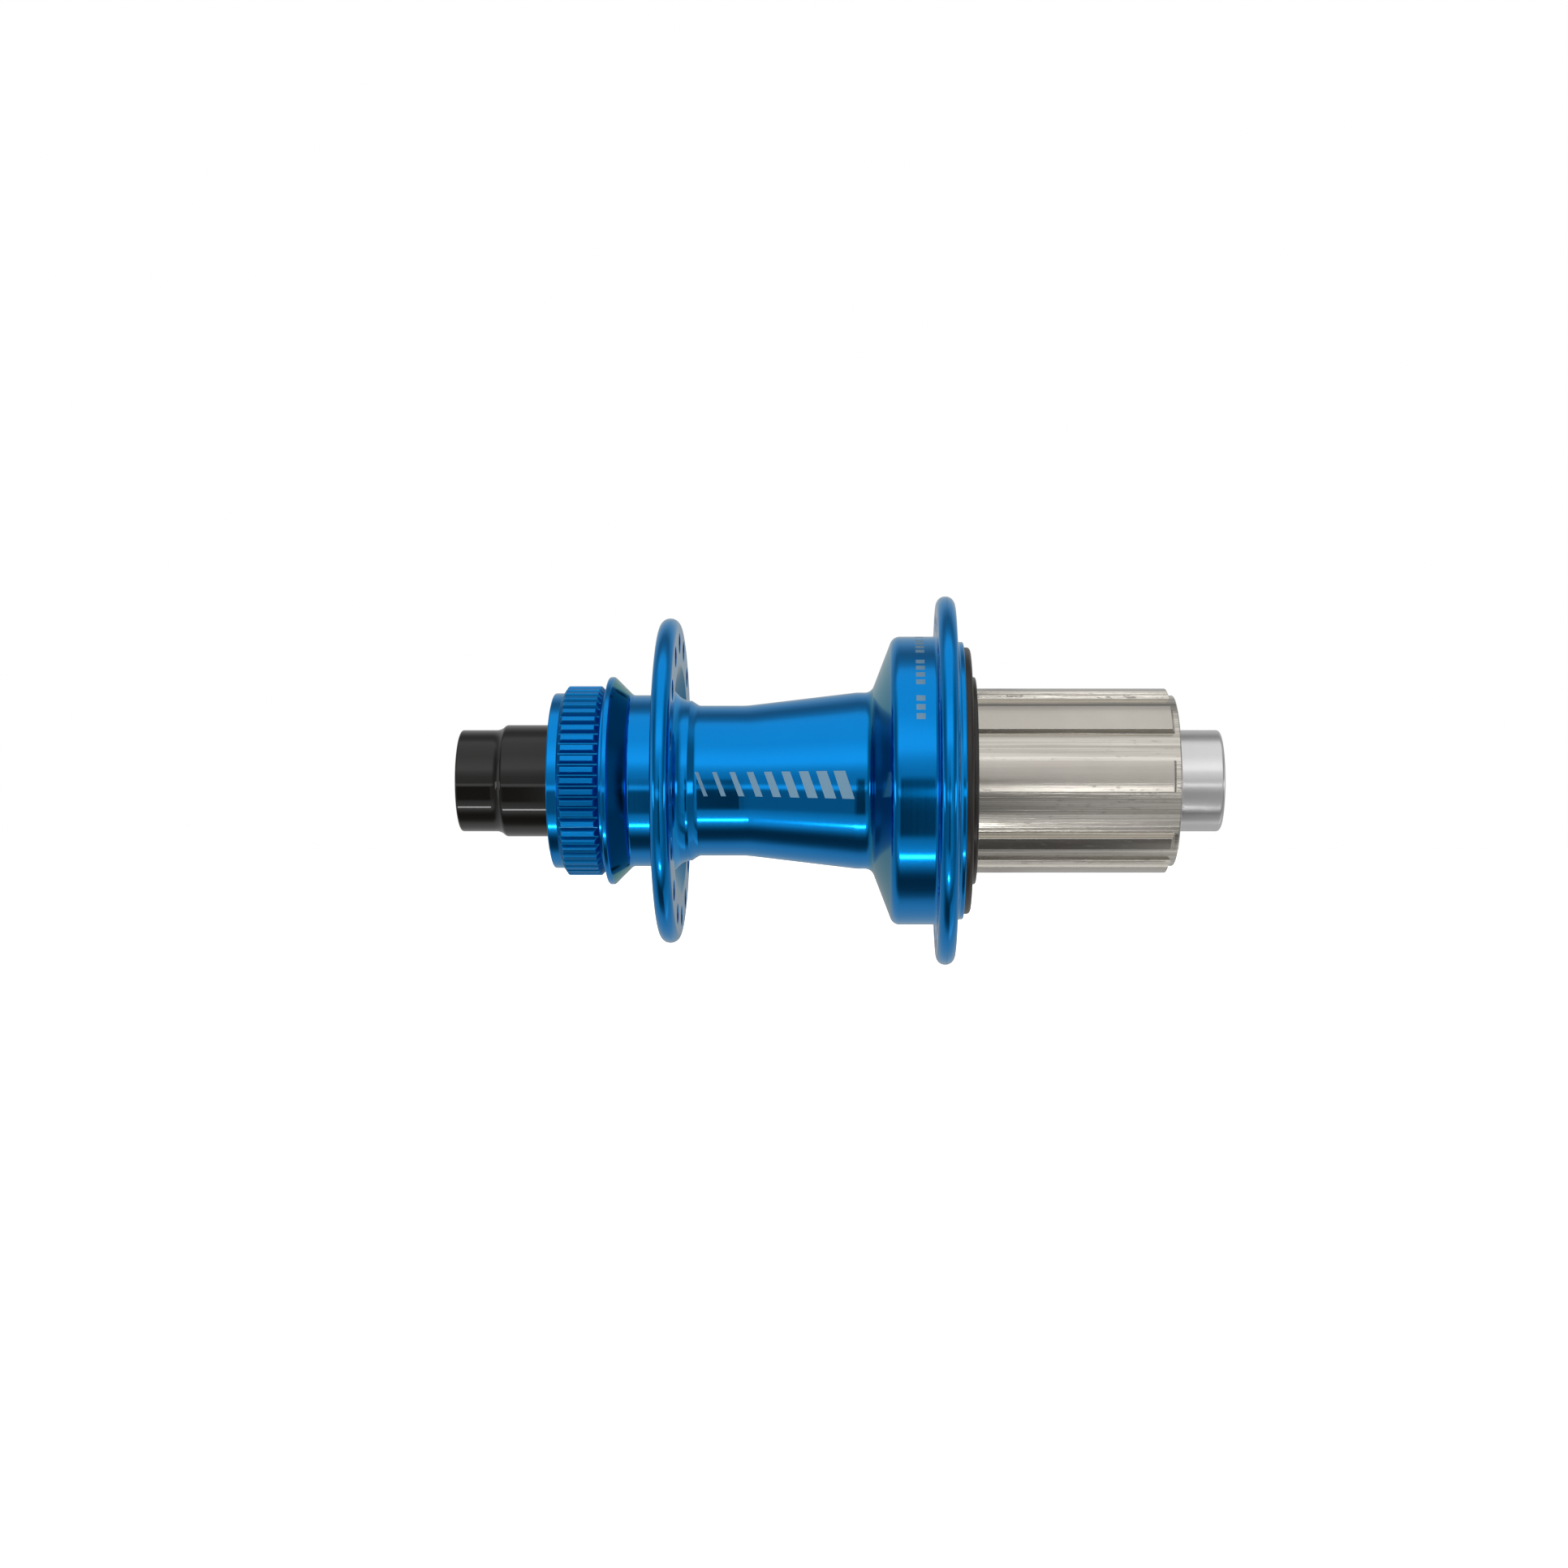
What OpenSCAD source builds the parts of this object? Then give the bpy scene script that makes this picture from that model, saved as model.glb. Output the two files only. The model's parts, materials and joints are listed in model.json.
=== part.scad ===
// Rear bicycle hub for a disc brake and a 12 mm through axle.
// The axle line is X, with the cassette side at +X, and the origin is midway between the
// two end faces. "Forward" is the way the wheel rolls: the top of the hub moves towards +Y.

/* [Axle and end caps] */
// Width between the two end faces
over_caps = 142; // [142:0.5:145]
// Bore for the wheel axle
bore_d = 12; // [12:0.05:12.2]
// Diameter of the end caps where they sit in the frame
cap_d = 19; // [18.6:0.1:19.2]
// Diameter of the axle tube under the bearings
axle_d = 15; // [15:0.1:15.2]

/* [Shell] */
// Distance from the hub centre to the brake side flange
left_flange_x = 31.8; // [31.4:0.1:32.4]
// Distance from the hub centre to the cassette side flange
right_flange_x = 19.53; // [19:0.01:19.6]
// Diameter of the brake side flange
left_flange_d = 60.8; // [58:0.2:64]
// Diameter of the cassette side flange
right_flange_d = 69; // [67:0.2:72]
// Thickness of both flanges
flange_t = 3.5; // [3.2:0.1:3.6]
// Smallest diameter of the barrel between the flanges
barrel_d = 28.16; // [27.6:0.02:29]
// Diameter of the drum around the ratchet
drum_d = 54; // [53:0.2:55]

/* [Spoke holes] */
// Holes in each flange
spoke_holes = 16; // [12:2:18]
// Diameter of a spoke hole
spoke_hole_d = 2.6; // [2.4:0.1:2.8]
// Hole circle of the brake side flange
left_hole_circle = 51.4; // [50.6:0.1:52.4]
// Hole circle of the cassette side flange
right_hole_circle = 59.6; // [59.2:0.1:61.4]

/* [Rotor mount] */
// Diameter over the rotor spline
rotor_spline_d = 35.45; // [35:0.05:35.8]
// Grooves in the rotor spline
rotor_spline_count = 54; // [48:1:56]

/* [Freehub] */
// Diameter over the cassette spline
spline_d = 34.6; // [34.4:0.1:34.8]
// Diameter at the bottom of the spline grooves
spline_root_d = 32; // [31.8:0.1:32.4]
// Angle that a wide spline land takes up
land_angle = 19.2; // [18:0.2:20]
// Teeth inside the ratchet ring
ratchet_teeth = 36; // [36:36:36]
// How far a pawl turns out from its pressed-in rest to the teeth
pawl_travel = 14; // [13.5:0.1:14]

/* [Bearings] */
// Ball diameter in the shell bearings
shell_ball_d = 4; // [3.6:0.1:4]
// Ball diameter in the freehub bearings
freehub_ball_d = 3.5; // [3.2:0.1:3.6]

/* [Hidden] */

// Finest angle of a turned fillet, and sides of a turned surface
arc_step = 5;
turned_sides = 180;

// Radii and end positions worked out from the driving dimensions
end_x = over_caps / 2;
bore_r = bore_d / 2;
axle_r = axle_d / 2;
axle_end_x = 66;
axle_shoulder_r = axle_r + 1;
o_ring_x = 60;
cap_r = cap_d / 2;
cap_collar_r = cap_r + 0.95;
cap_bore_gap = 0.05;
flange_half = flange_t / 2;
rim_r = flange_half - 0.05;
left_web_x = -left_flange_x + flange_half;
spoke_hole_r = spoke_hole_d / 2;
spoke_angle = 360 / spoke_holes;
first_hole = 5.9;

// Stations along the shell
shell_left_x = -53.45;
shell_right_x = 22.85;
collar_r = 16.4;
spline_left_x = -50.7;
spline_right_x = -44.8;
rotor_seat_x = -43.2;
rotor_seat_r = 19.45;
neck_r = 16.05;
web_edge_r = 21.6;
web_dish = 1.8;
boss_r = 15;
barrel_r = barrel_d / 2;
shoulder_r = 16.55;
drum_r = drum_d / 2;
lip_r = 26;
shell_bore_r = 11.2;
seal_seat_r = 23.6;

// Lockring thread inside the rotor mount
rotor_thread_r = 15;
rotor_thread_root = 14.45;
thread_pitch = 1;

// Freehub stations
freehub_left_x = 10;
carrier_left_x = 11;
carrier_right_x = 19.6;
spline_start_x = 24.3;
spline_end_x = 60.75;
freehub_right_x = 62.2;
carrier_r = 19.1;
seal_land_r = 18.2;
spline_r = spline_d / 2;
spline_root_r = spline_root_d / 2;
lands = 9;
land_pitch = 360 / lands;
first_land = 87.25;
narrow_land = 1;
narrow_land_angle = land_angle - 10;
narrow_land_at = first_land + land_pitch * narrow_land + (land_angle - narrow_land_angle) / 2;
cassette_thread_r = 15.3;
cassette_thread_root = 14.75;
stop_ring_right_x = 25.2;

// Ratchet: tooth tips and roots, and the forward face that the pawls push on. The face
// leans by tooth_lean, so that a pawl's tip clears it on its way out.
ring_outer_r = 23;
tooth_tip_r = 19.6;
tooth_root_r = 20.9;
tooth_pitch = 360 / ratchet_teeth;
tooth_face = 22.3;
tooth_lean = 2.2;
tooth_tip_angle = 0.6;
ramp_end = 20;
ring_x = [11.6, 20.8];

// Pawl: pivot circle, heel, tip, and the leaf spring's rolled end under it
pawl_count = 6;
pawl_pitch = 360 / pawl_count;
pawl_pivot_r = 16.9;
heel_r = 1.7;
heel_gap = 0.05;
pawl_tip = 22;
pawl_gap = 0.2;
pawl_x = [11.1, 17.9];
pawl_spring_x = [12.5, 16.5];
pocket_right_x = 18.2;
pocket_floor = 14.3;
pocket_front = 26.3;
spring_end = [1.3, 14.6];
spring_end_r = 0.35;
spring_arm = 4.6;
spring_rest = 5;
spring_tip_r = 0.2;
spring_t = 0.3;

// Bearings as [centre x, bore, outside, width, ball, balls]
left_bearing = [-42.5, axle_d, 28, 7, shell_ball_d, 11];
right_bearing = [3, axle_d, 28, 7, shell_ball_d, 11];
freehub_inner = [14.5, axle_d, 26, 7, freehub_ball_d, 12];
freehub_outer = [48.5, axle_d, 26, 7, freehub_ball_d, 12];
ball_gap = 0.05;
race_chamfer = 0.3;
seal_t = 0.5;
seal_inset = 0.1;
seal_lip_gap = 0.15;

steel = "lightsteelblue";
shell_blue = "royalblue";
anodised_black = "#1c1a19";
rubber_black = "#2b2725";

function unit(v) = v / norm(v);
function polar(r, a) = r * [sin(a), cos(a)];
function left(b) = b[0] - b[3] / 2;
function right(b) = b[0] + b[3] / 2;
function pitch_r(b) = (b[1] + b[2]) / 4;
function inner_land(b) = pitch_r(b) - 0.31 * b[4];
function outer_land(b) = pitch_r(b) + 0.31 * b[4];

// The arc that rounds the corner at "at" with radius rad
function corner(before, at, after, rad) =
    let (
        u = unit(before - at),
        v = unit(after - at),
        half = acos(u * v) / 2,
        centre = at + unit(u + v) * rad / sin(half),
        first = at + u * rad / tan(half) - centre,
        last = at + v * rad / tan(half) - centre,
        start = atan2(first[1], first[0]),
        turn = atan2(first[0] * last[1] - first[1] * last[0], first * last),
        steps = ceil(abs(turn) / arc_step)
    )
    [for (i = [0 : steps]) centre + rad * [
        cos(start + turn * i / steps),
        sin(start + turn * i / steps)
    ]];

// A closed outline of [x, r] or [x, r, radius] points with its corners rounded
function rounded(points) =
    let (n = len(points), flat = [for (p = points) [p[0], p[1]]])
    [for (i = [0 : n - 1])
        each len(points[i]) > 2
            ? corner(flat[(i + n - 1) % n], flat[i], flat[(i + 1) % n], points[i][2])
            : [flat[i]]];

// Crests and roots of a turned thread from x0 to x1
function thread(x0, x1, crest, root) =
    [for (x = [x0 : thread_pitch : x1 - thread_pitch])
        each [[x, root], [x + thread_pitch / 2, crest]]];

// Solid of revolution about X of a closed outline of [x, r] points
module turned(points, sides = turned_sides) {
    rotate([0, 90, 0])
        rotate_extrude($fn = sides)
            polygon([for (p = rounded(points)) [p[1], p[0]]]);
}

// Ring about X with a square section
module ring(x0, x1, r0, r1) {
    turned([[x0, r0], [x1, r0], [x1, r1], [x0, r1]]);
}

// An outline in the plane across X (first coordinate +Y, second +Z), drawn out from x0 to x1
module across(x0, x1) {
    translate([x0, 0, 0])
        rotate([90, 0, 90])
            linear_extrude(x1 - x0)
                children();
}

// Turns a piece forward about X by an angle from the top
module forward(angle) {
    rotate([-angle, 0, 0]) children();
}

// ---------------------------------------------------------------- axle and end caps

module o_ring_groove(x) {
    ring(x - 0.5, x + 0.5, axle_r - 0.75, axle_r + 1);
}

module axle() {
    color("silver")
        difference() {
            turned([
                [-axle_end_x, bore_r],
                [-axle_end_x, axle_r - 0.4],
                [-axle_end_x + 0.4, axle_r],
                [right(left_bearing), axle_r],
                [right(left_bearing), axle_shoulder_r],
                [left(right_bearing), axle_shoulder_r],
                [left(right_bearing), axle_r],
                [axle_end_x - 0.4, axle_r],
                [axle_end_x, axle_r - 0.4],
                [axle_end_x, bore_r]
            ]);
            o_ring_groove(-o_ring_x);
            o_ring_groove(o_ring_x);
        }
}

module o_ring(x) {
    color(rubber_black)
        translate([x, 0, 0])
            rotate([0, 90, 0])
                rotate_extrude($fn = turned_sides)
                    translate([axle_r - 0.37, 0])
                        circle(r = 0.36, $fn = 32);
}

// Pushes onto the axle end and stops against the left bearing
module left_end_cap() {
    in_x = left(left_bearing);
    sleeve_r = axle_r + cap_bore_gap;
    color(anodised_black)
        turned([
            [-end_x, bore_r + 0.3],
            [-end_x, cap_r, 0.4],
            [-63.55, cap_r, 2.4],
            [-62.55, cap_collar_r, 0.9],
            [in_x - 2, cap_collar_r, 0.3],
            [in_x - 2, 13, 0.3],
            [in_x - 1, 13, 0.3],
            [in_x - 1, 9.1],
            [in_x, 9.1],
            [in_x, sleeve_r],
            [-axle_end_x - 0.2, sleeve_r],
            [-axle_end_x - 0.2, bore_r],
            [-end_x + 0.3, bore_r]
        ]);
}

// Pushes onto the axle end and stops against the freehub's outer bearing
module right_end_cap() {
    in_x = right(freehub_outer);
    sleeve_r = axle_r + cap_bore_gap;
    color("silver")
        turned([
            [in_x, sleeve_r],
            [in_x, 9],
            [in_x + 1.6, 9],
            [in_x + 1.6, 12.8, 0.2],
            [in_x + 2.4, 12.8, 0.2],
            [in_x + 2.4, 10.1, 0.3],
            [freehub_right_x + 0.25, 10.1, 0.3],
            [freehub_right_x + 0.75, cap_r, 0.4],
            [end_x, cap_r, 0.7],
            [end_x, bore_r + 0.3],
            [end_x - 0.3, bore_r],
            [axle_end_x + 0.2, bore_r],
            [axle_end_x + 0.2, sleeve_r]
        ]);
}

module axle_spacer() {
    color("silver") ring(right(right_bearing), left(freehub_inner), axle_r, 9);
}

module freehub_spacer_tube() {
    color("silver") ring(right(freehub_inner), left(freehub_outer), axle_r, 8.7);
}

// ---------------------------------------------------------------- hub shell

shell_outside = [
    [shell_left_x, 10],
    [shell_left_x, collar_r, 0.3],
    [spline_left_x - 0.9, collar_r],
    [spline_left_x, rotor_spline_d / 2, 0.12],
    [spline_right_x, rotor_spline_d / 2, 0.12],
    [spline_right_x + 0.95, 16.75, 0.15],
    [rotor_seat_x, 16.75, 0.15],
    [rotor_seat_x, rotor_seat_r, 0.35],
    [rotor_seat_x + 0.95, rotor_seat_r, 0.5],
    [-38.85, neck_r, 1.2],
    [-left_flange_x - flange_half, neck_r, 1.2],
    [-left_flange_x - flange_half, left_flange_d / 2, rim_r],
    [left_web_x, left_flange_d / 2, rim_r],
    [left_web_x, web_edge_r, 0.5],
    [left_web_x - web_dish, 17.9, 1.2],
    [left_web_x + 0.55, boss_r, 3],
    [left_web_x + 2.15, boss_r, 0.3],
    [left_web_x + 3.55, barrel_r, 1.5],
    [-17.6, barrel_r, 14],
    [3, shoulder_r, 6],
    [5.72, shoulder_r, 1.75],
    [9.74, drum_r, 1.9],
    [right_flange_x - flange_half, drum_r, 0.7],
    [right_flange_x - flange_half, right_flange_d / 2, rim_r],
    [right_flange_x + flange_half, right_flange_d / 2, rim_r],
    [right_flange_x + flange_half, lip_r + 0.3, 0.5],
    [right_flange_x + flange_half + 0.5, lip_r + 0.3, 0.1],
    [right_flange_x + flange_half + 0.8, lip_r, 0.1],
    [shell_right_x, lip_r, 0.25],
    [shell_right_x, 10]
];

shell_inside = [
    [shell_left_x - 1, 0],
    [shell_left_x - 1, rotor_thread_r + 1.4],
    [shell_left_x + 0.6, rotor_thread_root + 0.35],
    each thread(shell_left_x + 0.7, -46.6, rotor_thread_r, rotor_thread_root),
    [-46.6, rotor_thread_root],
    [left(left_bearing), rotor_thread_root],
    [left(left_bearing), left_bearing[2] / 2],
    [right(left_bearing), left_bearing[2] / 2],
    [right(left_bearing), 12.3],
    [right(left_bearing) + 0.8, 12.3],
    [right(left_bearing) + 2, shell_bore_r, 1],
    [left(right_bearing) - 2, shell_bore_r, 1],
    [left(right_bearing) - 0.8, 12.3],
    [left(right_bearing), 12.3],
    [left(right_bearing), right_bearing[2] / 2],
    [right(right_bearing), right_bearing[2] / 2],
    [right(right_bearing) + 0.4, right_bearing[2] / 2 + 0.4],
    [freehub_left_x - 0.6, right_bearing[2] / 2 + 0.4, 0.4],
    [freehub_left_x - 0.6, 19, 1],
    [ring_x[0] - 0.4, ring_outer_r],
    [ring_x[1] + 0.15, ring_outer_r],
    [ring_x[1] + 0.15, seal_seat_r],
    [shell_right_x - 0.3, seal_seat_r],
    [shell_right_x + 1, seal_seat_r + 1.3],
    [shell_right_x + 1, 0]
];

// One spoke hole across a flange, with both mouths broken
module spoke_hole(x, circle_d, mouth) {
    over = 0.15;
    translate([x, 0, circle_d / 2])
        turned([
            [-flange_half - over, 0],
            [-flange_half - over, spoke_hole_r + mouth + over],
            [-flange_half + mouth, spoke_hole_r],
            [flange_half - mouth, spoke_hole_r],
            [flange_half + over, spoke_hole_r + mouth + over],
            [flange_half + over, 0]
        ], 32);
}

// One groove of the rotor spline: a V with a narrow flat root
module rotor_groove() {
    root_r = 16.95;
    root_half = 0.12;
    top_r = 18.2;
    top_half = 0.89;
    across(spline_left_x - 1.1, rotor_seat_x - 0.3)
        polygon([
            [-root_half, root_r],
            [root_half, root_r],
            [top_half, top_r],
            [-top_half, top_r]
        ]);
}

module hub_shell() {
    rotor_pitch = 360 / rotor_spline_count;
    color(shell_blue)
        difference() {
            turned(shell_outside);
            turned(shell_inside);
            for (i = [0 : rotor_spline_count - 1])
                forward(-90 + rotor_pitch * (i + 0.5))
                    rotor_groove();
            for (i = [0 : spoke_holes - 1]) {
                forward(-first_hole - spoke_angle * i)
                    spoke_hole(-left_flange_x, left_hole_circle, 0.75);
                forward(-first_hole - spoke_angle * (i + 0.5))
                    spoke_hole(right_flange_x, right_hole_circle, 0.5);
            }
        }
}

// Pressed into the drum: the pawls push on the steep forward face of each tooth
module ratchet_ring() {
    color("dimgray")
        difference() {
            ring(ring_x[0], ring_x[1], 18, ring_outer_r);
            across(ring_x[0] - 1, ring_x[1] + 1)
                polygon([for (i = [0 : ratchet_teeth - 1])
                    let (tip = tooth_face + tooth_lean + tooth_pitch * (i - 1))
                    each [
                        polar(tooth_tip_r, tip),
                        polar(tooth_tip_r, tip + tooth_tip_angle),
                        polar(tooth_root_r, ramp_end + tooth_pitch * i),
                        polar(tooth_root_r, tooth_face + tooth_pitch * i)
                    ]]);
        }
}

// Rubber ring in the shell's mouth, with a lip that runs round the freehub
module drive_side_seal() {
    color(rubber_black)
        turned([
            [ring_x[1] + 0.2, 22.2],
            [ring_x[1] + 0.2, seal_seat_r],
            [shell_right_x, seal_seat_r],
            [shell_right_x, 25],
            [24.15, 25, 0.7],
            [24.15, 20.2, 0.3],
            [23.6, 18.4],
            [23.2, 18.4],
            [22.9, 20.4],
            [22.3, 22.2]
        ]);
}

// ---------------------------------------------------------------- bearings

module race_groove(b) {
    translate([b[0], 0, 0])
        rotate([0, 90, 0])
            rotate_extrude($fn = turned_sides)
                translate([pitch_r(b), 0])
                    circle(r = b[4] / 2 + ball_gap, $fn = 48);
}

module inner_race(b) {
    bore = b[1] / 2;
    land = inner_land(b);
    color(steel)
        difference() {
            turned([
                [left(b), bore],
                [left(b), land - race_chamfer],
                [left(b) + race_chamfer, land],
                [right(b) - race_chamfer, land],
                [right(b), land - race_chamfer],
                [right(b), bore]
            ]);
            race_groove(b);
        }
}

module outer_race(b) {
    outside = b[2] / 2;
    land = outer_land(b);
    seat = land + 0.4;
    in = seal_inset + seal_t;
    color(steel)
        difference() {
            turned([
                [left(b), seat],
                [left(b), outside - race_chamfer],
                [left(b) + race_chamfer, outside],
                [right(b) - race_chamfer, outside],
                [right(b), outside - race_chamfer],
                [right(b), seat],
                [right(b) - in, seat],
                [right(b) - in, land],
                [left(b) + in, land],
                [left(b) + in, seat]
            ]);
            race_groove(b);
        }
}

module each_ball(b) {
    for (i = [0 : b[5] - 1])
        forward(360 / b[5] * i)
            translate([b[0], 0, pitch_r(b)])
                children();
}

module balls(b) {
    color("silver") each_ball(b) sphere(d = b[4], $fn = 48);
}

module cage(b) {
    half = b[4] / 2 + 0.45;
    color("goldenrod")
        difference() {
            ring(b[0] - half, b[0] + half, pitch_r(b) - 0.65, pitch_r(b) + 0.65);
            each_ball(b) sphere(r = b[4] / 2 + 0.07, $fn = 48);
        }
}

// The pair of rubber shields, held by the outer race
module bearing_seals(b) {
    inside = inner_land(b) + seal_lip_gap;
    outside = outer_land(b) + 0.4;
    color(rubber_black) {
        ring(left(b) + seal_inset, left(b) + seal_inset + seal_t, inside, outside);
        ring(right(b) - seal_inset - seal_t, right(b) - seal_inset, inside, outside);
    }
}

// ---------------------------------------------------------------- freehub

// Pocket for one pawl and its leaf spring, open at the left for fitting
module pawl_pocket() {
    front = unit(polar(1, pocket_front));
    across(carrier_left_x - 1, pocket_right_x) {
        translate([0, pawl_pivot_r]) circle(r = heel_r + heel_gap, $fn = 48);
        translate(spring_end) circle(r = spring_end_r + 0.07, $fn = 32);
        polygon([
            [0.2, pocket_floor + 0.8],
            [0.9, pocket_floor],
            pocket_floor / front[1] * front,
            (carrier_r + 1) * front,
            [0.7, carrier_r + 0.3]
        ]);
    }
}

// A spline land with parallel sides, centred on the top
module land(angle) {
    half = spline_r * sin(angle / 2);
    translate([spline_start_x - 1, -half, spline_root_r / 2])
        cube([freehub_right_x - spline_start_x + 2, 2 * half, spline_r]);
}

// The turned outside of the freehub over the tops of its lands
module freehub_blank() {
    turned([
        [freehub_left_x, 8],
        [freehub_left_x, 15, 0.3],
        [carrier_left_x, 15],
        [carrier_left_x, carrier_r],
        [carrier_right_x, carrier_r, 0.4],
        [carrier_right_x + 0.5, seal_land_r, 0.3],
        [spline_start_x, seal_land_r],
        [spline_start_x, spline_r],
        [spline_end_x - 0.1, spline_r, 0.15],
        [spline_end_x + 0.4, spline_root_r],
        [freehub_right_x, spline_root_r, 0.3],
        [freehub_right_x, 8]
    ]);
}

freehub_inside = [
    [freehub_left_x - 1, 0],
    [freehub_left_x - 1, freehub_inner[2] / 2],
    [right(freehub_inner), freehub_inner[2] / 2],
    [right(freehub_inner), 11.6],
    [left(freehub_outer), 11.6],
    [left(freehub_outer), freehub_outer[2] / 2],
    [right(freehub_outer), freehub_outer[2] / 2],
    [right(freehub_outer), freehub_outer[2] / 2 + 0.7],
    [right(freehub_outer) + 1.2, freehub_outer[2] / 2 + 0.7],
    [right(freehub_outer) + 1.2, freehub_outer[2] / 2],
    [right(freehub_outer) + 1.6, freehub_outer[2] / 2],
    [right(freehub_outer) + 2.6, cassette_thread_root],
    each thread(right(freehub_outer) + 2.6, freehub_right_x, cassette_thread_r,
        cassette_thread_root),
    [freehub_right_x + 0.6, cassette_thread_r],
    [freehub_right_x + 0.6, 0]
];

module freehub_body() {
    color("gainsboro")
        difference() {
            intersection() {
                freehub_blank();
                union() {
                    ring(freehub_left_x, spline_start_x, 5, carrier_r + 1);
                    ring(spline_start_x, freehub_right_x, 5, spline_root_r);
                    for (i = [0 : lands - 1])
                        if (i != narrow_land)
                            rotate([first_land + land_pitch * i, 0, 0])
                                land(land_angle);
                    rotate([narrow_land_at, 0, 0])
                        land(narrow_land_angle);
                }
            }
            turned(freehub_inside);
            for (i = [0 : pawl_count - 1])
                forward(pawl_pitch * i)
                    pawl_pocket();
        }
}

// Black shoulder that the cassette is clamped against
module cassette_stop_ring() {
    color(rubber_black)
        turned([
            [spline_start_x, spline_r],
            [spline_start_x, 19.45, 0.15],
            [stop_ring_right_x, 19.45, 0.35],
            [stop_ring_right_x, spline_r]
        ]);
}

// Snap ring that keeps the outer bearing in, with a gap to squeeze it
module freehub_circlip() {
    x = right(freehub_outer);
    color("dimgray")
        difference() {
            ring(x + 0.05, x + 1.15, 11.9, freehub_outer[2] / 2 + 0.65);
            translate([x - 1, -2, 0]) cube([4, 4, 20]);
        }
}

// Thin ring that keeps the pawls in their pockets
module pawl_retainer() {
    color("dimgray") ring(freehub_left_x + 0.1, carrier_left_x, 15, 18.8);
}

// Heel and arm of a pawl at the top, turned in to its rest
module pawl(number) {
    color("darkgray")
        forward(pawl_pitch * (number - 1))
            translate([0, 0, pawl_pivot_r])
                rotate([-pawl_travel, 0, 0]) {
                    across(pawl_x[0], pawl_x[1])
                        circle(r = heel_r, $fn = 48);
                    translate([0, 0, -pawl_pivot_r])
                        across(pawl_x[0], pawl_x[1])
                            polygon([
                                [0.4, pawl_pivot_r - 1.6],
                                polar(18.3, pawl_tip),
                                polar(tooth_root_r - pawl_gap, pawl_tip),
                                polar(tooth_root_r - pawl_gap, ramp_end + 0.3),
                                polar(tooth_tip_r - pawl_gap, ramp_end - 4.9),
                                [0.97, pawl_pivot_r + 1.38],
                                [0.4, pawl_pivot_r]
                            ]);
                }
}

// Leaf spring under a pawl: a strip with a rolled end in the pocket and a rolled tip
module pawl_spring(number) {
    color("silver")
        forward(pawl_pitch * (number - 1))
            across(pawl_spring_x[0], pawl_spring_x[1])
                translate(spring_end)
                    rotate(spring_rest)
                        union() {
                            circle(r = spring_end_r, $fn = 32);
                            translate([0, -spring_t / 2]) square([spring_arm, spring_t]);
                            translate([spring_arm, 0]) circle(r = spring_tip_r, $fn = 32);
                        }
}

axle();
left_end_cap();
right_end_cap();
o_ring(-o_ring_x);  // left_cap_o_ring
o_ring(o_ring_x);  // right_cap_o_ring
axle_spacer();
freehub_spacer_tube();
hub_shell();
ratchet_ring();
drive_side_seal();
inner_race(left_bearing);  // left_bearing_inner_race
outer_race(left_bearing);  // left_bearing_outer_race
balls(left_bearing);  // left_bearing_balls
cage(left_bearing);  // left_bearing_cage
bearing_seals(left_bearing);  // left_bearing_seals
inner_race(right_bearing);  // right_bearing_inner_race
outer_race(right_bearing);  // right_bearing_outer_race
balls(right_bearing);  // right_bearing_balls
cage(right_bearing);  // right_bearing_cage
bearing_seals(right_bearing);  // right_bearing_seals
inner_race(freehub_inner);  // freehub_inner_bearing_inner_race
outer_race(freehub_inner);  // freehub_inner_bearing_outer_race
balls(freehub_inner);  // freehub_inner_bearing_balls
cage(freehub_inner);  // freehub_inner_bearing_cage
bearing_seals(freehub_inner);  // freehub_inner_bearing_seals
inner_race(freehub_outer);  // freehub_outer_bearing_inner_race
outer_race(freehub_outer);  // freehub_outer_bearing_outer_race
balls(freehub_outer);  // freehub_outer_bearing_balls
cage(freehub_outer);  // freehub_outer_bearing_cage
bearing_seals(freehub_outer);  // freehub_outer_bearing_seals
freehub_body();
cassette_stop_ring();
freehub_circlip();
pawl_retainer();
pawl(1);  // pawl_1
pawl(2);  // pawl_2
pawl(3);  // pawl_3
pawl(4);  // pawl_4
pawl(5);  // pawl_5
pawl(6);  // pawl_6
pawl_spring(1);  // pawl_spring_1
pawl_spring(2);  // pawl_spring_2
pawl_spring(3);  // pawl_spring_3
pawl_spring(4);  // pawl_spring_4
pawl_spring(5);  // pawl_spring_5
pawl_spring(6);  // pawl_spring_6
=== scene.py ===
"""Looks for a rear bicycle hub: procedural metals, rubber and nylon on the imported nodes, in a plain
white studio. Metres; the axle line is X, with the cassette side at +X."""

import json
import math

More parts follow.
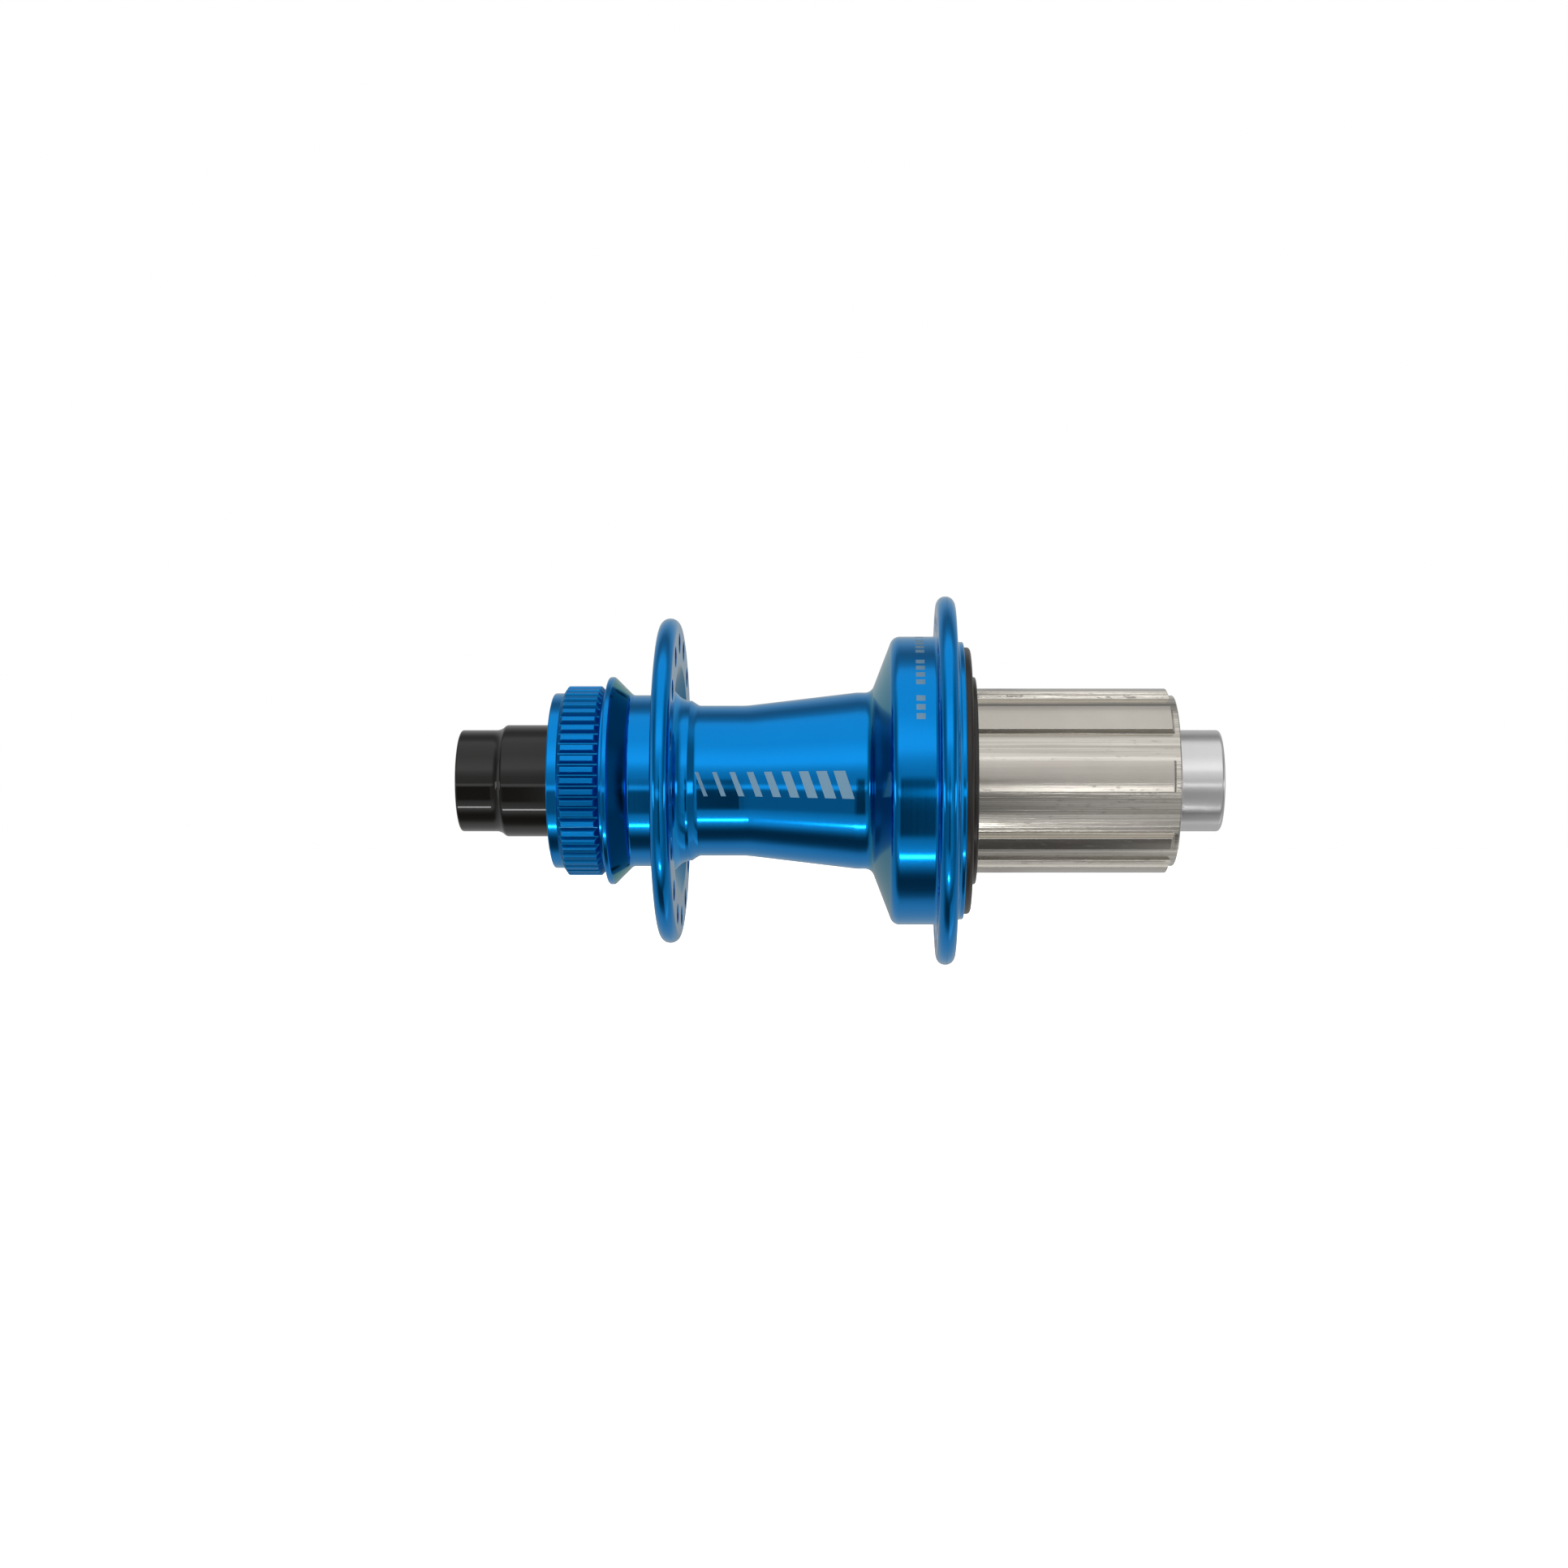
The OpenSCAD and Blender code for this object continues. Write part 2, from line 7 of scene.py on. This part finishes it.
import bpy
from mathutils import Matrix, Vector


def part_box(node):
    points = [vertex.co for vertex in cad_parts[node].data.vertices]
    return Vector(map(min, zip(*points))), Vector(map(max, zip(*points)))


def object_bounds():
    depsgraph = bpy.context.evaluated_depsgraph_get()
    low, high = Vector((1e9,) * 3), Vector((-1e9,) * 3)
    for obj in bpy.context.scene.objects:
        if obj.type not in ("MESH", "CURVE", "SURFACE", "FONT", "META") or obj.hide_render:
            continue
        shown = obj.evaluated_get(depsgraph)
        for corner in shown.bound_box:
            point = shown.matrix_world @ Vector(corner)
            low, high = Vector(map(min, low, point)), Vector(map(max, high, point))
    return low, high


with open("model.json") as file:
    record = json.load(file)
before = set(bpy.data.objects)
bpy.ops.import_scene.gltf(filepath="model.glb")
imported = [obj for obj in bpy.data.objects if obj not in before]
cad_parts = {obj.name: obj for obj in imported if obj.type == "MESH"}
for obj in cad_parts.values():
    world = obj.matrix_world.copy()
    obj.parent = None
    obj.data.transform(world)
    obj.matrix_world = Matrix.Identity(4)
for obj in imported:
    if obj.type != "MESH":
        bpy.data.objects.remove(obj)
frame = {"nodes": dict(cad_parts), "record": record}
cad_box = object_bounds()
nodes = frame["nodes"]

MM = 0.001

# ------------------------------------------------------------------ camera

CAMERA_X = 5.5 * MM
CAMERA_DISTANCE = 0.48
LENS_MM = 58.7
SENSOR_MM = 36
SHIFT = (-0.0549, -0.0021)
CLIP = (0.01, 10)


def make_camera():
    """Level, straight in front of the hub, and framed by shift."""
    data = bpy.data.cameras.new("camera")
    data.lens = LENS_MM
    data.sensor_width = SENSOR_MM
    data.shift_x, data.shift_y = SHIFT
    data.clip_start, data.clip_end = CLIP
    camera = bpy.data.objects.new("camera", data)
    camera.location = (CAMERA_X, -CAMERA_DISTANCE, 0)
    camera.rotation_euler = (math.radians(90), 0, 0)
    bpy.context.scene.collection.objects.link(camera)
    bpy.context.scene.camera = camera


# ------------------------------------------------------------------ node graphs


class Graph:
    """Adds and joins shader nodes in one tree. A value may be a number or another node's socket."""

    def __init__(self, tree):
        self.tree = tree

    def add(self, kind, inputs=None, **settings):
        node = self.tree.nodes.new("ShaderNode" + kind)
        for key, value in settings.items():
            setattr(node, key, value)
        for key, value in (inputs or {}).items():
            self.put(node.inputs[key], value)
        return node

    def put(self, socket, value):
        if isinstance(value, bpy.types.NodeSocket):
            self.tree.links.new(value, socket)
        else:
            socket.default_value = value

    def math(self, operation, a, b=0.0, c=0.0):
        node = self.add("Math", operation=operation)
        for socket, value in zip(node.inputs, (a, b, c)):
            self.put(socket, value)
        return node.outputs[0]

    def mix(self, factor, a, b):
        """Mixes two colours; a colour may be a tuple of three numbers."""
        node = self.add("Mix", data_type="RGBA")
        for name, value in (("Factor_Float", factor), ("A_Color", a), ("B_Color", b)):
            socket = next(s for s in node.inputs if s.identifier == name)
            self.put(socket, (*value, 1) if isinstance(value, tuple) else value)
        return next(s for s in node.outputs if s.identifier == "Result_Color")

    def step(self, value, start, end):
        """0 below start, 1 above end, smooth between. start may be above end."""
        node = self.add("MapRange", interpolation_type="SMOOTHSTEP")
        rising = start < end
        for name, number in (
            ("From Min", min(start, end)),
            ("From Max", max(start, end)),
            ("To Min", 0 if rising else 1),
            ("To Max", 1 if rising else 0),
        ):
            node.inputs[name].default_value = number
        self.put(node.inputs["Value"], value)
        return node.outputs["Result"]

    def band(self, value, low, high, soft):
        """1 between low and high, 0 outside, with soft edges."""
        return self.math(
            "MULTIPLY",
            self.step(value, low - soft, low + soft),
            self.step(value, high + soft, high - soft),
        )

    def noise(self, point, scale, detail=3.0, roughness=0.55, stretch=(1, 1, 1)):
        """Noise from 0 to 1 around 0.5. scale is in features per metre."""
        mapping = self.add("Mapping", {"Vector": point, "Scale": tuple(scale * s for s in stretch)})
        node = self.add(
            "TexNoise",
            {"Vector": mapping.outputs[0], "Scale": 1.0, "Detail": detail, "Roughness": roughness},
        )
        return node.outputs["Fac"]


BEVEL_SAMPLES = 6
# Cosines between the rounded and the real normal where an edge starts to show, and where it is full
EDGE_COSINE = (0.995, 0.93)


class Finish(Graph):
    """A material with one Principled shader, and the places on the part that its pattern uses."""

    def __init__(self, name, **sockets):
        self.material = bpy.data.materials.new(name)
        self.material.use_nodes = True
        super().__init__(self.material.node_tree)
        self.shader = self.tree.nodes["Principled BSDF"]
        for key, value in sockets.items():
            self.set(key.replace("_", " "), value)
        self.point = self.add("TexCoord").outputs["Object"]
        split = self.add("SeparateXYZ", {"Vector": self.point})
        self.x, self.y, self.z = split.outputs

    def set(self, name, value):
        self.put(self.shader.inputs[name], (*value, 1) if isinstance(value, tuple) else value)

    def radius(self):
        squares = self.math("ADD", self.math("POWER", self.y, 2.0), self.math("POWER", self.z, 2.0))
        return self.math("SQRT", squares)

    def angle(self):
        """Degrees round the axle from the front of the hub, up positive."""
        turn = self.math("ARCTAN2", self.z, self.math("MULTIPLY", self.y, -1.0))
        return self.math("MULTIPLY", turn, math.degrees(1))

    def turning_marks(self, per_mm=6.0):
        """Fine rings round the axle, as a lathe leaves them."""
        return self.noise(self.point, per_mm / MM, 2.0, 0.6, (1, 0.004, 0.004))

    def drawn_marks(self, per_mm=5.0):
        """Fine lines along the axle, as a broach or a mill leaves them."""
        return self.noise(self.point, per_mm / MM, 3.0, 0.65, (0.012, 1, 1))

    def rounded(self, size):
        """The surface normal, with edges rounded by size metres."""
        return self.add("Bevel", {"Radius": size}, samples=BEVEL_SAMPLES).outputs[0]

    def edges(self, size):
        """1 on sharp edges about size metres wide, 0 on flat and gently curved stretches."""
        hard = self.add("NewGeometry").outputs["Normal"]
        same = self.add("VectorMath", {0: self.rounded(size), 1: hard}, operation="DOT_PRODUCT")
        return self.step(same.outputs["Value"], *EDGE_COSINE)

    def relief(self, *layers, edge=0.0):
        """Bumps, each a height from 0 to 1 and its depth in metres, over edges rounded by edge."""
        normal = self.rounded(edge) if edge else None
        for height, depth in layers:
            bump = self.add("Bump", {"Height": height, "Distance": depth, "Strength": 1.0})
            if normal is not None:
                self.put(bump.inputs["Normal"], normal)
            normal = bump.outputs[0]
        self.put(self.shader.inputs["Normal"], normal)


# ------------------------------------------------------------------ materials

# Where the shell's print and its painted shade and highlights lie: metres along X or from the axle, or
# degrees up from the front.
# The radii of MARK, SPLINE and DISH_FOOT are where a pattern starts to show and where it is full.
BARREL_MARK_X = (-25.9 * MM, 2.6 * MM)
BARREL_MARK_ANGLE = (-11.6, 6.4)
DRUM_MARK_X = (13.8 * MM, 15.4 * MM)
DRUM_MARK_ANGLE = (23.0, 101.0)
MARK_RADIUS = (12.5 * MM, 13 * MM)
SPLINE_FROM_LEFT_END = (2.0 * MM, 9.6 * MM)
SPLINE_FLANK_RADIUS = (17.68 * MM, 17.5 * MM)
SPLINE_ROOT_RADIUS = (17.06 * MM, 16.98 * MM)
SEAT_CONE_X = (-42.0 * MM, -39.2 * MM)
DRUM_CONE_X = (5.5 * MM, 9.2 * MM)
DISH_X = (-32.3 * MM, -29.7 * MM)
DISH_BOWL_RADIUS = (18.2 * MM, 21.9 * MM)
DISH_FOOT_RADIUS = (18.5 * MM, 17.9 * MM)
# Each flange's spoke holes: along X, and from the axle
LEFT_HOLES = ((-33.4 * MM, -30.2 * MM), (23.4 * MM, 28.0 * MM))
RIGHT_HOLES = ((17.9 * MM, 21.1 * MM), (27.6 * MM, 32.0 * MM))

# Bars on the barrel: how many fit, their slant for each degree, the share of its room that a bar
# fills at the left and how much more at the right, and the share of the row that is used
BAR_COUNT = 9.0
BAR_SLANT = 0.0032
BAR_SHARE_START = 0.2
BAR_SHARE_GAIN = 0.5
BARS_END = 0.975

# Dashes on the drum: the room for one dash and for one group, and the share of it that is filled
DASH_DEGREES = 4.0
DASH_SHARE = 0.62
GROUP_DEGREES = 20.0
GROUP_SHARE = 0.8


def barrel_mark(g, angle):
    """A row of slanted bars that get wider towards the drum."""
    start, end = BARREL_MARK_X
    along = g.math("DIVIDE", g.math("SUBTRACT", g.x, start), end - start)
    slanted = g.math("MULTIPLY_ADD", angle, BAR_SLANT, along)
    phase = g.math("FRACT", g.math("MULTIPLY", slanted, BAR_COUNT))
    share = g.math("MULTIPLY_ADD", along, BAR_SHARE_GAIN, BAR_SHARE_START)
    bar = g.math("LESS_THAN", phase, share)
    row = g.band(slanted, 0.0, BARS_END, 0.0005)
    height = g.band(angle, *BARREL_MARK_ANGLE, 0.15)
    return g.math("MULTIPLY", bar, g.math("MULTIPLY", row, height))


def part_of(g, angle, degrees, share):
    """1 over the first share of each stretch of so many degrees."""
    phase = g.math("FRACT", g.math("MULTIPLY", angle, 1 / degrees))
    return g.math("LESS_THAN", phase, share)


def drum_mark(g, angle):
    """A row of short dashes round the drum, in groups."""
    dash = part_of(g, angle, DASH_DEGREES, DASH_SHARE)
    group = part_of(g, angle, GROUP_DEGREES, GROUP_SHARE)
    width = g.band(g.x, *DRUM_MARK_X, 0.05 * MM)
    row = g.band(angle, *DRUM_MARK_ANGLE, 0.2)
    return g.math("MULTIPLY", g.math("MULTIPLY", width, row), g.math("MULTIPLY", dash, group))


def hole_walls(g, radius, holes):
    """1 inside the spoke holes of a flange, where the only surface is the walls of the holes."""
    along, out = holes
    return g.math("MULTIPLY", g.band(g.x, *along, 0.05 * MM), g.band(radius, *out, 0.1 * MM))


def shell_painted_shade_and_light(g, radius, spline, walls):
    """Places where painted shade makes the blue deeper or a painted highlight makes it lighter: a mask,
    how much of it counts, and the colour.
    """
    dish = g.band(g.x, *DISH_X, 0.1 * MM)
    return (
        # painted shade: the seat and drum cones darker, as they mirror dark surroundings
        (g.band(g.x, *SEAT_CONE_X, 0.2 * MM), 0.9, (0.0, 0.2, 0.2)),
        (g.band(g.x, *DRUM_CONE_X, 0.6 * MM), 0.9, (0.0, 0.2, 0.34)),
        # painted shade in the dish bowl, and a painted highlight on the dish foot
        (g.math("MULTIPLY", dish, g.band(radius, *DISH_BOWL_RADIUS, 0.3 * MM)), 1.0, (0.0, 0.17, 0.42)),
        (g.math("MULTIPLY", dish, g.step(radius, *DISH_FOOT_RADIUS)), 1.0, (0.0, 0.32, 0.85)),
        # painted shade on the spline flanks, and a painted highlight along the spline roots
        (g.math("MULTIPLY", spline, g.step(radius, *SPLINE_FLANK_RADIUS)), 0.6, (0.0, 0.1, 0.25)),
        (g.math("MULTIPLY", spline, g.step(radius, *SPLINE_ROOT_RADIUS)), 0.5, (0.0, 0.34, 0.75)),
        # painted shade: the spoke-hole walls made nearly black
        (walls, 1.0, (0.0, 0.03, 0.06)),
    )


def shell_anodised():
    """Blue anodised aluminium, polished over turning marks, milled in the rotor spline."""
    g = Finish(
        "shell_anodised",
        Coat_Weight=0.12,
        Coat_Roughness=0.05,
        Specular_Tint=(0.8, 1.0, 1.0),
    )
    angle = g.angle()
    radius = g.radius()
    left_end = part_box("hub_shell")[0].x
    spline = g.band(g.x, *(left_end + offset for offset in SPLINE_FROM_LEFT_END), 0.1 * MM)
    walls = g.math("MAXIMUM", hole_walls(g, radius, LEFT_HOLES), hole_walls(g, radius, RIGHT_HOLES))
    marks = g.turning_marks()
    blue = g.mix(g.noise(g.point, scale=160), (0.0, 0.235, 0.68), (0.0, 0.255, 0.72))
    # painted highlight: lighter blue on sharp edges
    blue = g.mix(g.edges(0.25 * MM), blue, (0.01, 0.33, 0.8))
    for mask, amount, colour in shell_painted_shade_and_light(g, radius, spline, walls):
        blue = g.mix(g.math("MULTIPLY", mask, amount), blue, colour)
    mark = g.math("MAXIMUM", barrel_mark(g, angle), drum_mark(g, angle))
    mark = g.math("MULTIPLY", mark, g.step(radius, *MARK_RADIUS))
    g.set("Base Color", g.mix(mark, blue, (0.2, 0.36, 0.5)))
    matt = g.math("MAXIMUM", g.math("MULTIPLY", mark, 0.5), walls)
    g.set("Metallic", g.math("SUBTRACT", 1.0, matt))
    polished = g.math("MULTIPLY_ADD", marks, 0.05, 0.095)
    rough = g.math("MULTIPLY_ADD", spline, 0.28, polished)
    g.set("Roughness", g.math("MULTIPLY_ADD", matt, 0.8, rough))
    g.relief((marks, 0.0012 * MM), edge=0.12 * MM)
    return g.material


def cap_black():
    """Black anodised aluminium, glossy over turning marks."""
    g = Finish("cap_black", Metallic=0.0, Specular_IOR_Level=0.48)
    marks = g.turning_marks(per_mm=5.0)
    cloud = g.noise(g.point, scale=200)
    black = g.mix(cloud, (0.0025, 0.0022, 0.0017), (0.0045, 0.004, 0.0032))
    # painted highlight: a lighter black on sharp edges
    g.set("Base Color", g.mix(g.edges(0.2 * MM), black, (0.02, 0.018, 0.016)))
    g.set("Roughness", g.math("MULTIPLY_ADD", marks, 0.05, 0.03))
    g.relief((marks, 0.0003 * MM), edge=0.1 * MM)
    return g.material


def bright_metal(name, dark, light, roughness):
    """Turned metal, with a painted highlight on its edges."""
    g = Finish(name, Metallic=1.0, Anisotropic=0.4)
    marks = g.turning_marks()
    tone = g.mix(g.noise(g.point, scale=220), dark, light)
    # painted highlight: a lighter tone for sharp edges
    worn = tuple(min(1.0, c * 1.15) for c in light)
    g.set("Base Color", g.mix(g.edges(0.15 * MM), tone, worn))
    g.set("Roughness", g.math("MULTIPLY_ADD", marks, 0.1, roughness))
    g.relief((marks, 0.002 * MM), edge=0.1 * MM)
    return g.material


FREEHUB_LAND_RADIUS = (16.5 * MM, 16.9 * MM)


def freehub_steel():
    """Nickel-plated steel: smooth on the lands, milled along the grooves and lightly scuffed, with
    painted light and dark streaks along the milled grooves and a painted highlight on the edges.
    """
    g = Finish("freehub_steel", Metallic=1.0)
    land = g.step(g.radius(), *FREEHUB_LAND_RADIUS)
    groove = g.math("SUBTRACT", 1.0, land)
    fine = g.drawn_marks(per_mm=5.0)
    wide = g.drawn_marks(per_mm=1.1)
    rubbed = g.noise(g.point, scale=1500, detail=5.0, roughness=0.7, stretch=(0.3, 1, 1))
    scuff = g.step(rubbed, 0.56, 0.72)
    stain = g.step(g.noise(g.point, scale=170, roughness=0.6, stretch=(0.5, 1, 1)), 0.5, 0.7)
    cloud = g.noise(g.point, scale=90, detail=4.0)
    tone = g.mix(cloud, (0.5, 0.47, 0.42), (0.62, 0.59, 0.53))
    tone = g.mix(g.math("MULTIPLY", stain, 0.5), tone, (0.58, 0.52, 0.5))
    cutter = g.noise(g.point, scale=1.5 / MM, detail=4.0, roughness=0.7, stretch=(0.006, 1, 1))
    # painted highlights and shade: light and dark streaks that follow the milling marks in the grooves
    milled = g.mix(g.step(cutter, 0.36, 0.64), (0.38, 0.36, 0.32), (0.82, 0.79, 0.73))
    tone = g.mix(g.math("MULTIPLY", groove, 0.55), tone, milled)
    pits = g.math("MULTIPLY", scuff, groove)
    tone = g.mix(g.math("MULTIPLY", pits, 0.5), tone, (0.36, 0.34, 0.3))
    # painted highlight: a lighter tone on sharp edges
    g.set("Base Color", g.mix(g.edges(0.2 * MM), tone, (0.78, 0.76, 0.71)))
    rough = g.math("MULTIPLY_ADD", fine, 0.08, 0.1)
    g.set("Roughness", g.math("MULTIPLY_ADD", scuff, 0.12, rough))
    streaks = g.math("MULTIPLY", wide, g.math("MULTIPLY_ADD", groove, 0.85, 0.15))
    g.relief((fine, 0.006 * MM), (streaks, 0.07 * MM), (pits, 0.006 * MM), edge=0.14 * MM)
    return g.material


def rubber(name, tone, gloss):
    """Moulded rubber: fine grain, turned rings, and a slightly worn sheen."""
    g = Finish(name, Metallic=0.0, Specular_IOR_Level=0.5)
    grain = g.noise(g.point, scale=9000, detail=4.0, roughness=0.6)
    worn = g.noise(g.point, scale=600, detail=4.0, roughness=0.6, stretch=(1, 0.2, 0.2))
    rings = g.turning_marks(per_mm=3.0)
    g.set("Base Color", g.mix(worn, tone, tuple(c * 1.9 for c in tone)))
    g.set("Roughness", g.math("MULTIPLY_ADD", worn, 0.25, gloss))
    g.relief((grain, 0.004 * MM), (rings, 0.004 * MM), edge=0.1 * MM)
    return g.material


def cage_nylon():
    """Moulded nylon, a little translucent."""
    g = Finish("cage_nylon", Subsurface_Weight=0.2, Subsurface_Scale=0.001)
    speckle = g.noise(g.point, scale=5000)
    g.set("Base Color", g.mix(speckle, (0.5, 0.4, 0.24), (0.6, 0.5, 0.33)))
    g.set("Roughness", g.math("MULTIPLY_ADD", speckle, 0.2, 0.35))
    g.relief((speckle, 0.01 * MM))
    return g.material


def give_materials():
    """Each node takes the finish of its material slot in the record."""
    finishes = {
        "shell_anodised": shell_anodised(),
        "cap_black": cap_black(),
        "cap_silver": bright_metal("cap_silver", (0.68, 0.68, 0.68), (0.76, 0.76, 0.76), 0.17),
        "axle_alloy": bright_metal("axle_alloy", (0.6, 0.6, 0.61), (0.74, 0.74, 0.75), 0.22),
        "freehub_steel": freehub_steel(),
        "dark_steel": bright_metal("dark_steel", (0.2, 0.2, 0.21), (0.3, 0.3, 0.31), 0.3),
        "spring_steel": bright_metal("spring_steel", (0.45, 0.46, 0.48), (0.6, 0.6, 0.62), 0.2),
        "stop_ring_black": rubber("stop_ring_black", (0.01, 0.0085, 0.0075), 0.16),
        "rubber_black": rubber("rubber_black", (0.0085, 0.0065, 0.005), 0.2),
        "bearing_steel": bright_metal("bearing_steel", (0.5, 0.51, 0.53), (0.64, 0.65, 0.67), 0.1),
        "cage_nylon": cage_nylon(),
    }
    for part in frame["record"]["subparts"]:
        mesh = nodes[part["node"]].data
        mesh.materials.clear()
        mesh.materials.append(finishes[part["material_slot"]])


# ------------------------------------------------------------------ studio

# The white tent that the hub mirrors, as (degrees up from the front, brightness), from behind and
# below, round the front, to behind and above
TENT = [
    (-180, 0.42), (-173, 0.38), (-158, 0.5), (-118, 0.52), (-110, 0.42), (-104, 0.2), (-97, 0.09),
    (-86, 0.065), (-80, 0.1), (-74, 0.3), (-68, 0.75), (-56, 0.75), (-50, 0.55), (-44, 0.45),
    (-12, 0.45), (-2, 0.5), (8, 0.55), (15, 0.72), (26, 1.17), (34, 1.15), (42, 1.05), (55, 0.9),
    (92, 0.9), (98, 0.82), (104, 0.5), (112, 0.32), (121, 0.27), (131, 0.4), (140, 0.52),
    (155, 0.54), (172, 0.52), (180, 0.42),
]
# Colours in a ramp stop at 1, so it holds the levels divided by this
RAMP_SCALE = 2.0

# Soft-edged patches of the studio. Each has degrees up from the front and the sideways part of the
# direction, both as from, to and softness, and then its level. FAR is past any direction.
FAR = 2.0
FRONT_LOW = (-45, -12, 3)
TABLE_GAP = (-12.5, -6.5, 1.2)
# Shares of the tent's light that are taken away
SHADES = (
    (FRONT_LOW, (-0.1, 0.05, 0.025), 0.87),  # what holds the camera
    (FRONT_LOW, (-FAR, -0.129, 0.005), 0.78),  # the dark to its left
    (FRONT_LOW, (-FAR, -0.185, 0.015), -0.43),  # which gets weaker further out
    ((-12, 2, 3), (-0.07, 0.05, 0.02), 0.87),  # the camera
)
# Light that is added
LIGHTS = (
    ((-116, -83, 4), (0.115, FAR, 0.005), 0.4),  # floor under the right end
    ((-74, -50, 4), (0.115, FAR, 0.005), -0.3),  # dimmer floor in front of it
    ((-22, 14, 4), (0.045, FAR, 0.015), 0.2),  # fill on the right
    (TABLE_GAP, (0.045, 0.114, 0.01), 2.6),  # bright gap at table height, right
    (TABLE_GAP, (-FAR, -0.065, 0.015), 0.7),  # the same gap, left
    ((-63.7, -61, 0.8), (-0.21, 0.042, 0.005), 10.0),  # strip light, low in front
)
WINDOWS = (((-28, -4, 3), (0.84, 0.97, 0.02), 1.8),)
# The flange keeps some of the tent's light off the freehub beside it
FLANGE_SHADE_X = (0.043, 0.056, 0.006)
FLANGE_SHADE = 0.3

SIDE_LIGHT = 0.25
SIDE_LIGHT_BEHIND = 0.2
BEHIND_DEGREES = (60, 110)
END_LIGHT = 0.4
END_SIDEWAYS = (0.92, 0.99)
TENT_TO_SIDES = (0.35, 0.8)


def patches(g, up, x, table, base=0.0):
    """A base level with the patches of a table added to it."""
    total = base
    for up_band, x_band, level in table:
        patch = g.math("MULTIPLY", g.band(up, *up_band), g.band(x, *x_band))
        total = g.math("MULTIPLY_ADD", patch, level, total)
    return total


def tent_light(g, turn, up, x):
    """Soft light all round the axle, with the dark of the camera in the middle of the front."""
    ramp = g.add("ValToRGB", {"Fac": g.math("MULTIPLY_ADD", turn, 0.5 / math.pi, 0.5)})
    elements = ramp.color_ramp.elements
    while len(elements) < len(TENT):
        elements.new(0.5)
    for element, (degrees, level) in zip(elements, TENT):
        element.position = 0.5 + degrees / 360
        shade = level / RAMP_SCALE
        element.color = (shade, shade, shade, 1)
    tent = g.math("MULTIPLY", ramp.outputs[0], RAMP_SCALE)
    tent = g.math("MULTIPLY", tent, g.math("SUBTRACT", 1.0, patches(g, up, x, SHADES)))
    flange = g.math("MULTIPLY_ADD", g.band(x, *FLANGE_SHADE_X), -FLANGE_SHADE, 1.0)
    return patches(g, up, x, LIGHTS, g.math("MULTIPLY", tent, flange))


def side_light(g, up, sideways):
    """Dimmer light to the left and right, with a low window on each side."""
    behind = g.step(g.math("ABSOLUTE", up), *BEHIND_DEGREES)
    sides = g.math("MULTIPLY_ADD", behind, SIDE_LIGHT_BEHIND, SIDE_LIGHT)
    sides = g.math("MULTIPLY_ADD", g.step(sideways, *END_SIDEWAYS), END_LIGHT, sides)
    return patches(g, up, sideways, WINDOWS, sides)


def make_world():
    """White to the camera. To everything else, a tent of soft light with dimmer sides."""
    world = bpy.data.worlds.new("studio")
    world.use_nodes = True
    tree = world.node_tree
    tree.nodes.clear()
    g = Graph(tree)
    direction = g.add("TexCoord").outputs["Generated"]
    x, y, z = g.add("SeparateXYZ", {"Vector": direction}).outputs
    turn = g.math("ARCTAN2", z, g.math("MULTIPLY", y, -1.0))
    up = g.math("MULTIPLY", turn, math.degrees(1))
    sideways = g.math("ABSOLUTE", x)
    aside = g.step(sideways, *TENT_TO_SIDES)
    sides = g.math("MULTIPLY", aside, side_light(g, up, sideways))
    tent = g.math("MULTIPLY", g.math("SUBTRACT", 1.0, aside), tent_light(g, turn, up, x))
    light = g.math("ADD", sides, tent)
    studio = g.add("Background", {"Color": (1.0, 1.0, 1.0, 1.0), "Strength": light})
    white = g.add("Background", {"Color": (1.0, 1.0, 1.0, 1.0), "Strength": 1.0})
    seen = g.add("LightPath").outputs["Is Camera Ray"]
    mix = g.add("MixShader", {0: seen, 1: studio.outputs[0], 2: white.outputs[0]})
    output = g.add("OutputWorld")
    tree.links.new(mix.outputs[0], output.inputs["Surface"])
    bpy.context.scene.world = world


FLOOR_HALF_SIZE = 3.0
FLOOR_DROP = 0.06


def make_floor():
    """A white floor below the hub, bright enough to hold no hard shadow."""
    half = FLOOR_HALF_SIZE
    height = cad_box[0].z - FLOOR_DROP
    mesh = bpy.data.meshes.new("floor")
    corners = [(-half, -half), (half, -half), (half, half), (-half, half)]
    mesh.from_pydata([(x, y, height) for x, y in corners], [], [(0, 1, 2, 3)])
    floor = bpy.data.objects.new("floor", mesh)
    bpy.context.scene.collection.objects.link(floor)
    g = Finish("floor", Roughness=0.8)
    grain = g.noise(g.point, scale=40)
    g.set("Base Color", g.mix(grain, (0.86, 0.86, 0.86), (0.9, 0.9, 0.9)))
    g.set("Emission Color", (1.0, 1.0, 1.0))
    g.set("Emission Strength", 0.95)
    mesh.materials.append(g.material)
    floor.visible_glossy = False


make_camera()
give_materials()
make_world()
make_floor()
bpy.context.scene.view_settings.view_transform = "Standard"
